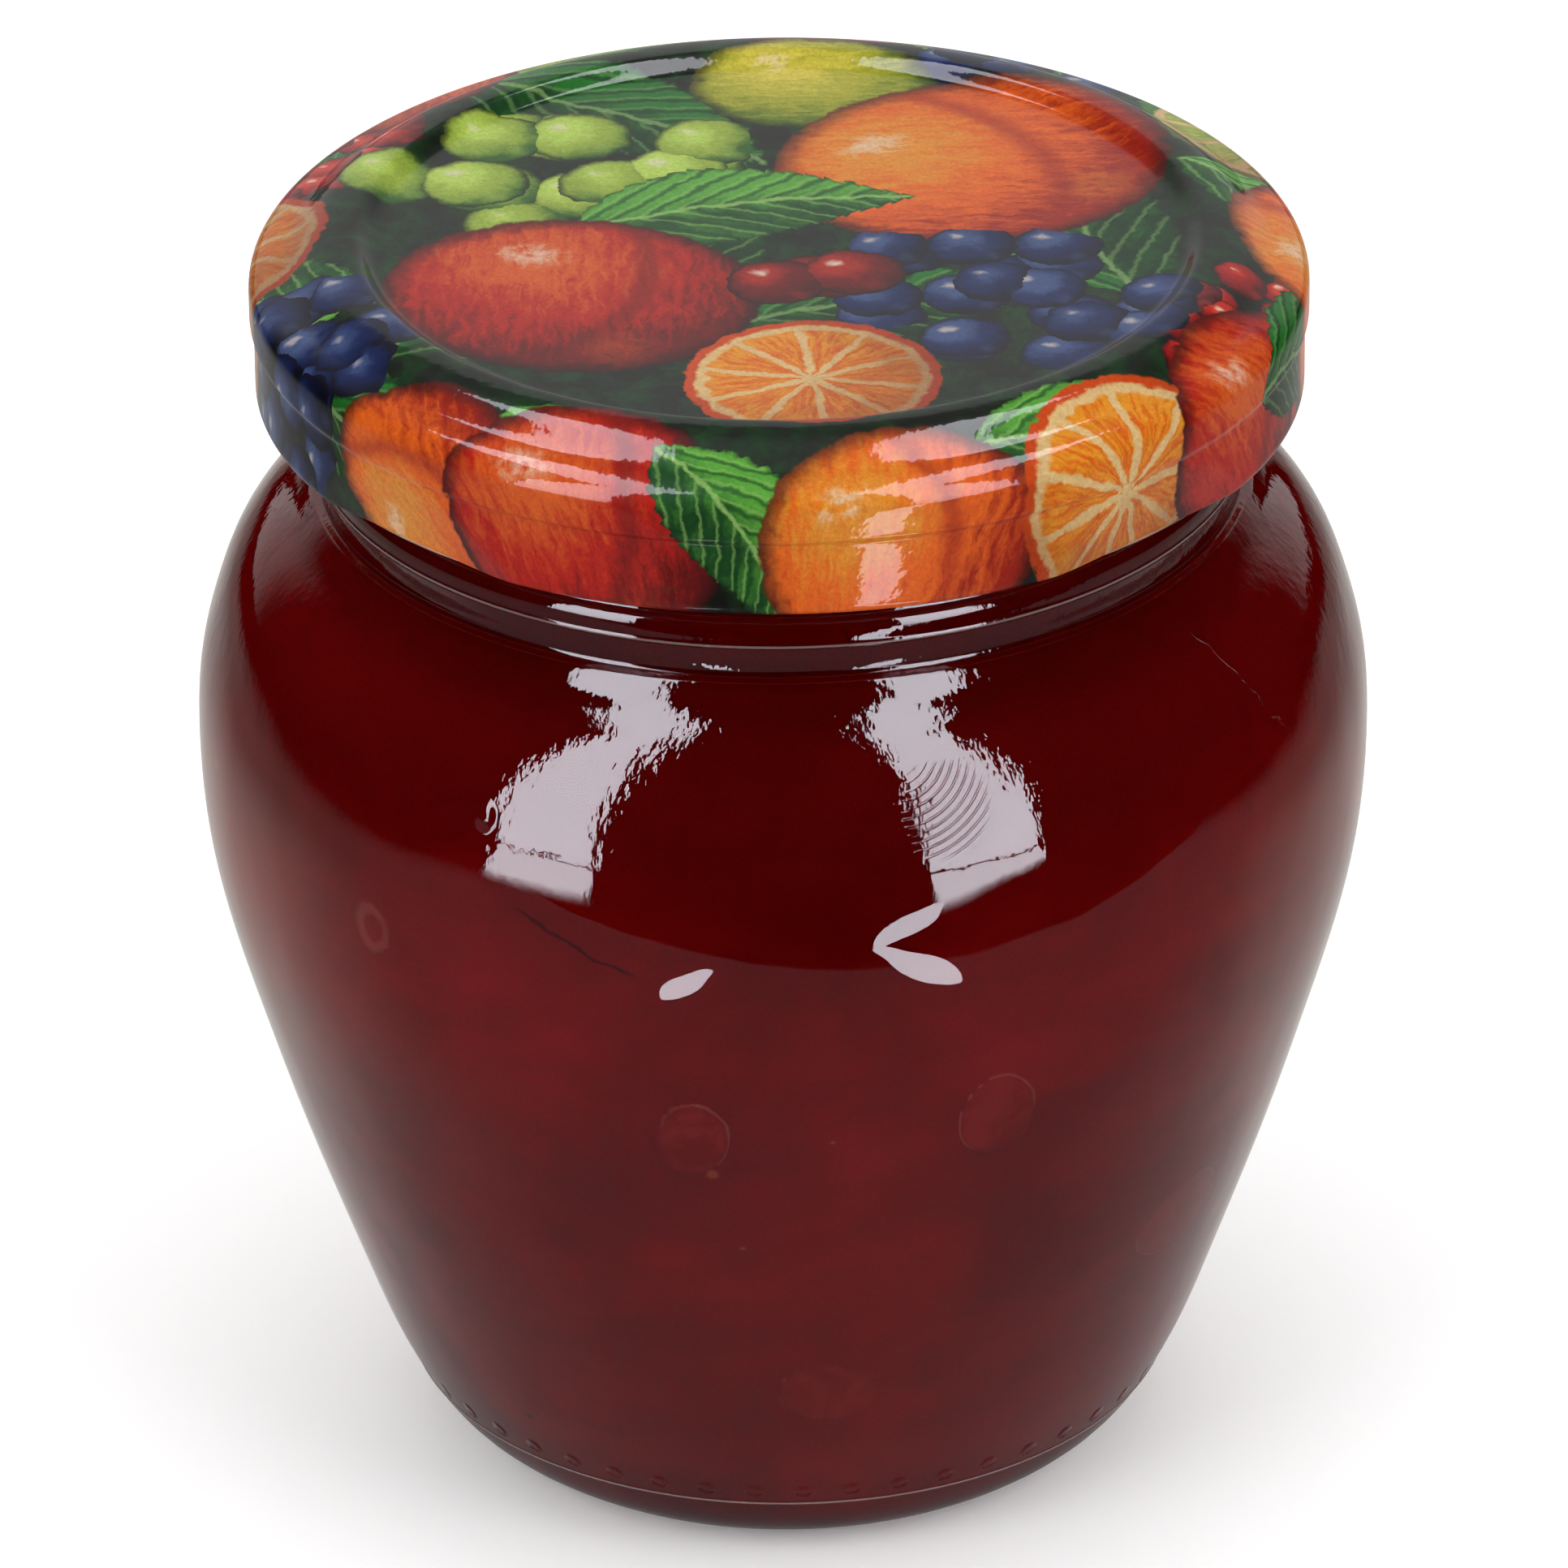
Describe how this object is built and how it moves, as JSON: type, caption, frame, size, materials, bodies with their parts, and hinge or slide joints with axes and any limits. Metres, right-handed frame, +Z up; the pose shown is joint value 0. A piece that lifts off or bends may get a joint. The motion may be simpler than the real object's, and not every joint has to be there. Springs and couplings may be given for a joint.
{
  "type": "jam pot",
  "caption": "Amphora-shaped glass jam jar with threaded neck, twist-off lug lid of printed tinplate, sealing ring, and a fill of red jam with fruit.",
  "frame": {"origin": "middle of the flat ring that the jar stands on", "axes": "+Z up along the jar's axis; -Y towards the viewer of the picture; +X to the viewer's right"},
  "size_m": [0.0822, 0.0822, 0.0919],
  "materials": {
    "glass": "clear flint glass, fire-polished, with fine mould seams",
    "jam": "deep red set jam, translucent and wet",
    "fruit": "soft cooked fruit",
    "tinplate": "tinplate with a varnished all-over fruit print outside and clear lacquer inside",
    "compound": "smooth sealing compound, off-white"
  },
  "bodies": {
    "jar": {"glass_jar": "glass", "jam": "jam", "fruit_pieces": "fruit"},
    "seal": {"sealing_ring": "compound"},
    "lid": {"lid": "tinplate"}
  },
  "joints": [
    {"name": "lid_rise", "type": "slide", "parent": "jar", "child": "seal", "axis": [0, 0, 1], "range_m": [0, 0.0127]},
    {"name": "lid_twist", "type": "hinge", "parent": "seal", "child": "lid", "pos_m": [0, 0, 0.0819], "axis": [0, 0, 1], "range_deg": [0, 360]}
  ],
  "couplings": [
    {"joint": "lid_rise", "follows": "lid_twist", "m_per_rad": 0.0020212}
  ]
}
